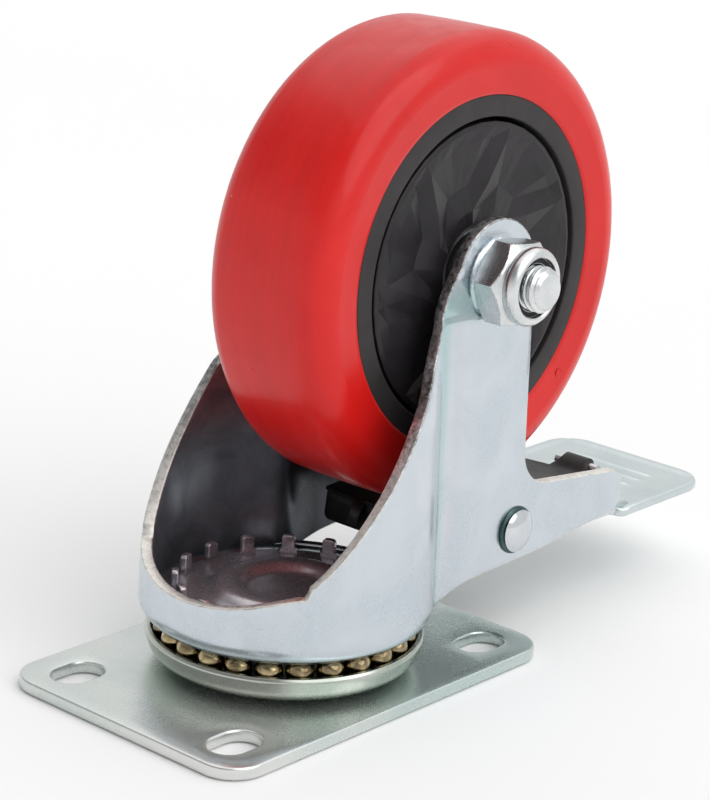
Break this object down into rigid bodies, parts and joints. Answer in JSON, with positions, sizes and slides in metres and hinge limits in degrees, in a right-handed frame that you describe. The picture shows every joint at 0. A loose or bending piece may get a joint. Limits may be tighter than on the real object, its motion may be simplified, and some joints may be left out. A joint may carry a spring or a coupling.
{
  "type": "swivel castor",
  "caption": "Plate-mounted swivel castor for a gate: red tyre on a black hub, zinc-plated fork on a ball race, nut-held axle and a foot pedal that locks both wheel and swivel.",
  "frame": {"origin": "centre of the bolt pattern on the plate's mounting face, on the swivel axis", "axes": "+Z out of the plate's far side towards the wheel, so the castor stands on its plate; +X towards the trailing wheel and the pedal; Y along the wheel axle, lock nut at -Y"},
  "size_m": [0.1715, 0.0676, 0.1333],
  "materials": {
    "plate_zinc": "zinc plated sheet, satin, with faint green and grey clouding",
    "dish_zinc": "zinc plated pressing, satin, faintly yellow-green",
    "claw_zinc": "zinc plated pressing, thin grease film",
    "fork_zinc": "blue zinc plated pressing, satin to semi-gloss",
    "pedal_zinc": "blue zinc plated pressing, satin",
    "rivet_zinc": "bright zinc, semi-gloss",
    "bright_zinc": "bright zinc plated fastener, semi-gloss",
    "plain_steel": "turned steel, satin",
    "bearing_steel": "ground bearing steel",
    "cage_brass": "pressed brass cage",
    "greased_balls": "steel balls under golden brown grease",
    "nylon": "dark nylon lock ring",
    "hub_plastic": "black moulded polypropylene, satin",
    "cover_plastic": "black moulded plastic with faceted relief",
    "red_tyre": "red polyurethane, smooth, slight gloss",
    "black_spring": "black oxide spring steel, slight oil sheen"
  },
  "bodies": {
    "base": {"mounting_plate": "plate_zinc", "race_dish": "dish_zinc", "swivel_post": "plain_steel", "claw_disc": "claw_zinc"},
    "main_ball_ring": {"main_balls": "greased_balls"},
    "upper_ball_ring": {"upper_balls": "greased_balls"},
    "fork": {"fork": "fork_zinc", "axle_bolt": "bright_zinc", "axle_nut": "bright_zinc", "nut_insert": "nylon", "spacer_tube": "plain_steel", "side_bush_near": "plain_steel", "side_bush_far": "plain_steel", "bearing_near_inner": "bearing_steel", "bearing_far_inner": "bearing_steel", "pedal_rivet": "rivet_zinc", "pivot_sleeve": "plain_steel", "rivet_washer_near": "rivet_zinc", "rivet_washer_far": "rivet_zinc"},
    "bearing_train": {"bearing_near_balls": "bearing_steel", "bearing_near_cage": "cage_brass", "bearing_far_balls": "bearing_steel", "bearing_far_cage": "cage_brass"},
    "wheel": {"hub_core": "hub_plastic", "tyre": "red_tyre", "hub_cover_near": "cover_plastic", "hub_cover_far": "cover_plastic", "bearing_near_outer": "bearing_steel", "bearing_far_outer": "bearing_steel"},
    "pedal": {"brake_pedal": "pedal_zinc", "brake_leaf": "black_spring", "leaf_pin": "plain_steel"}
  },
  "joints": [
    {"name": "swivel", "type": "hinge", "parent": "base", "child": "fork", "pos_m": [0, 0, 0.0102], "axis": [0, 0, 1], "continuous": true},
    {"name": "main_balls_roll", "type": "hinge", "parent": "base", "child": "main_ball_ring", "pos_m": [0, 0, 0.0102], "axis": [0, 0, 1], "continuous": true},
    {"name": "upper_balls_roll", "type": "hinge", "parent": "base", "child": "upper_ball_ring", "pos_m": [0, 0, 0.0165], "axis": [0, 0, 1], "continuous": true},
    {"name": "wheel_spin", "type": "hinge", "parent": "fork", "child": "wheel", "pos_m": [0.03725, 0, 0.0833], "axis": [0, 1, 0], "continuous": true},
    {"name": "bearing_roll", "type": "hinge", "parent": "fork", "child": "bearing_train", "pos_m": [0.03725, 0, 0.0833], "axis": [0, 1, 0], "continuous": true},
    {"name": "pedal_press", "type": "hinge", "parent": "fork", "child": "pedal", "pos_m": [0.0478, 0, 0.0257], "axis": [0, -1, 0], "range_deg": [0, 12]}
  ],
  "couplings": [
    {"joint": "main_balls_roll", "follows": "swivel", "ratio": 0.5},
    {"joint": "upper_balls_roll", "follows": "swivel", "ratio": 0.5},
    {"joint": "bearing_roll", "follows": "wheel_spin", "ratio": 0.63636}
  ]
}
